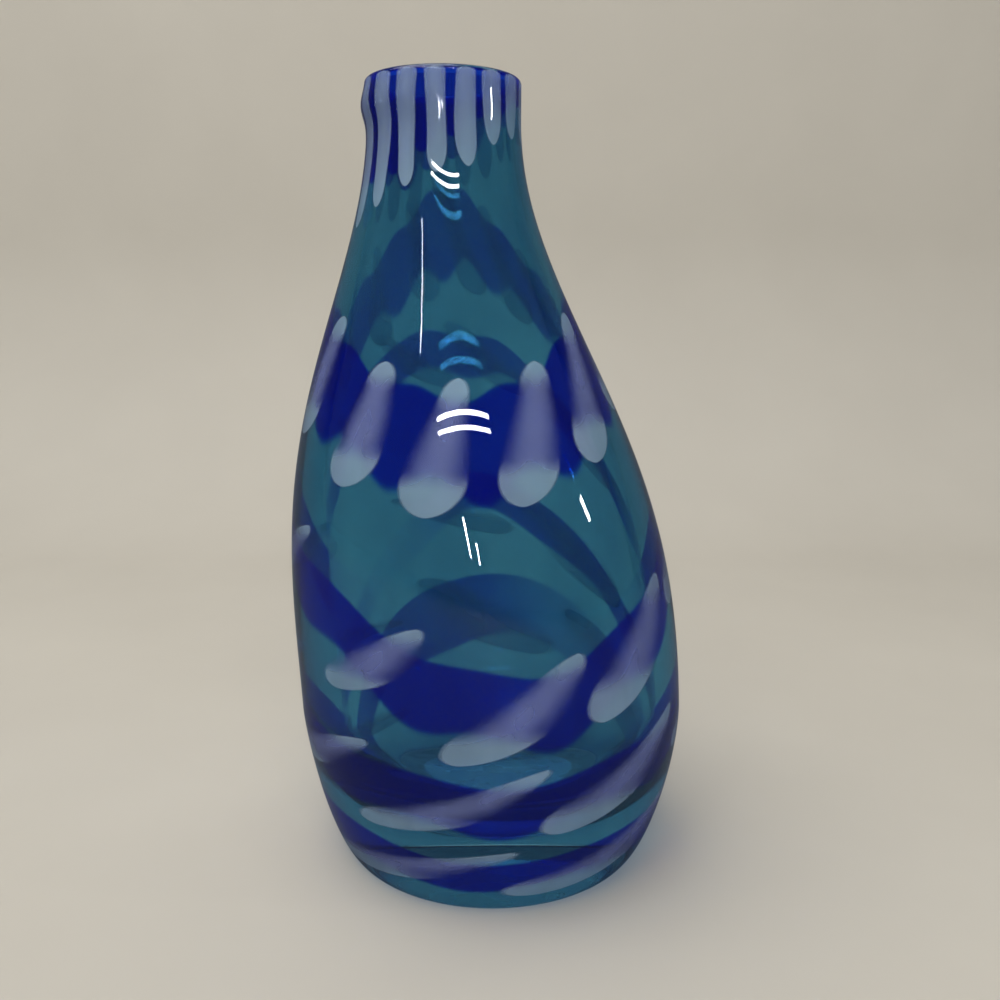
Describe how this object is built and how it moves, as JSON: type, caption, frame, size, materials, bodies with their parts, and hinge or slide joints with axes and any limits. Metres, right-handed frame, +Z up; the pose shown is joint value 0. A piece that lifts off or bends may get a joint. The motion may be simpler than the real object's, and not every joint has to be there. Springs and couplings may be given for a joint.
{
  "type": "blown glass vase",
  "caption": "Hand-blown bottle-shaped glass vase with a leaning neck, thick clear walls and four rings of lilac and cobalt canes.",
  "frame": {"origin": "centre of the flat foot, on the resting face", "axes": "+Z up along the height; the neck leans towards -X; the front faces -Y"},
  "size_m": [0.1298, 0.128, 0.25],
  "materials": {
    "clear_glass": "clear glass, fire-polished",
    "aqua_glass": "transparent aqua glass, fire-polished",
    "cobalt_glass": "dense transparent cobalt glass under a clear polish",
    "lilac_glass": "milky lilac glass under a clear polish"
  },
  "bodies": {
    "root": {"clear_gather": "clear_glass", "lip_lilac_canes": "lilac_glass", "lip_cobalt_canes": "cobalt_glass", "aqua_foot_band": "aqua_glass", "aqua_band_1": "aqua_glass", "aqua_band_2": "aqua_glass", "aqua_band_3": "aqua_glass", "aqua_band_4": "aqua_glass", "cobalt_canes_ring_1": "cobalt_glass", "cobalt_canes_ring_2": "cobalt_glass", "cobalt_canes_ring_3": "cobalt_glass", "cobalt_canes_ring_4": "cobalt_glass", "lilac_cane_01": "lilac_glass", "lilac_cane_02": "lilac_glass", "lilac_cane_03": "lilac_glass", "lilac_cane_04": "lilac_glass", "lilac_cane_05": "lilac_glass", "lilac_cane_06": "lilac_glass", "lilac_cane_07": "lilac_glass", "lilac_cane_08": "lilac_glass", "lilac_cane_09": "lilac_glass", "lilac_cane_10": "lilac_glass", "lilac_cane_11": "lilac_glass", "lilac_cane_12": "lilac_glass", "lilac_cane_13": "lilac_glass", "lilac_cane_14": "lilac_glass", "lilac_cane_15": "lilac_glass", "lilac_cane_16": "lilac_glass", "lilac_cane_17": "lilac_glass", "lilac_cane_18": "lilac_glass", "lilac_cane_19": "lilac_glass", "lilac_cane_20": "lilac_glass", "lilac_cane_21": "lilac_glass", "lilac_cane_22": "lilac_glass", "lilac_cane_23": "lilac_glass", "lilac_cane_24": "lilac_glass", "lilac_cane_25": "lilac_glass", "lilac_cane_26": "lilac_glass", "lilac_cane_27": "lilac_glass", "lilac_cane_28": "lilac_glass", "lilac_cane_29": "lilac_glass", "lilac_cane_30": "lilac_glass", "lilac_cane_31": "lilac_glass", "lilac_cane_32": "lilac_glass", "lilac_cane_33": "lilac_glass"}
  },
  "joints": []
}
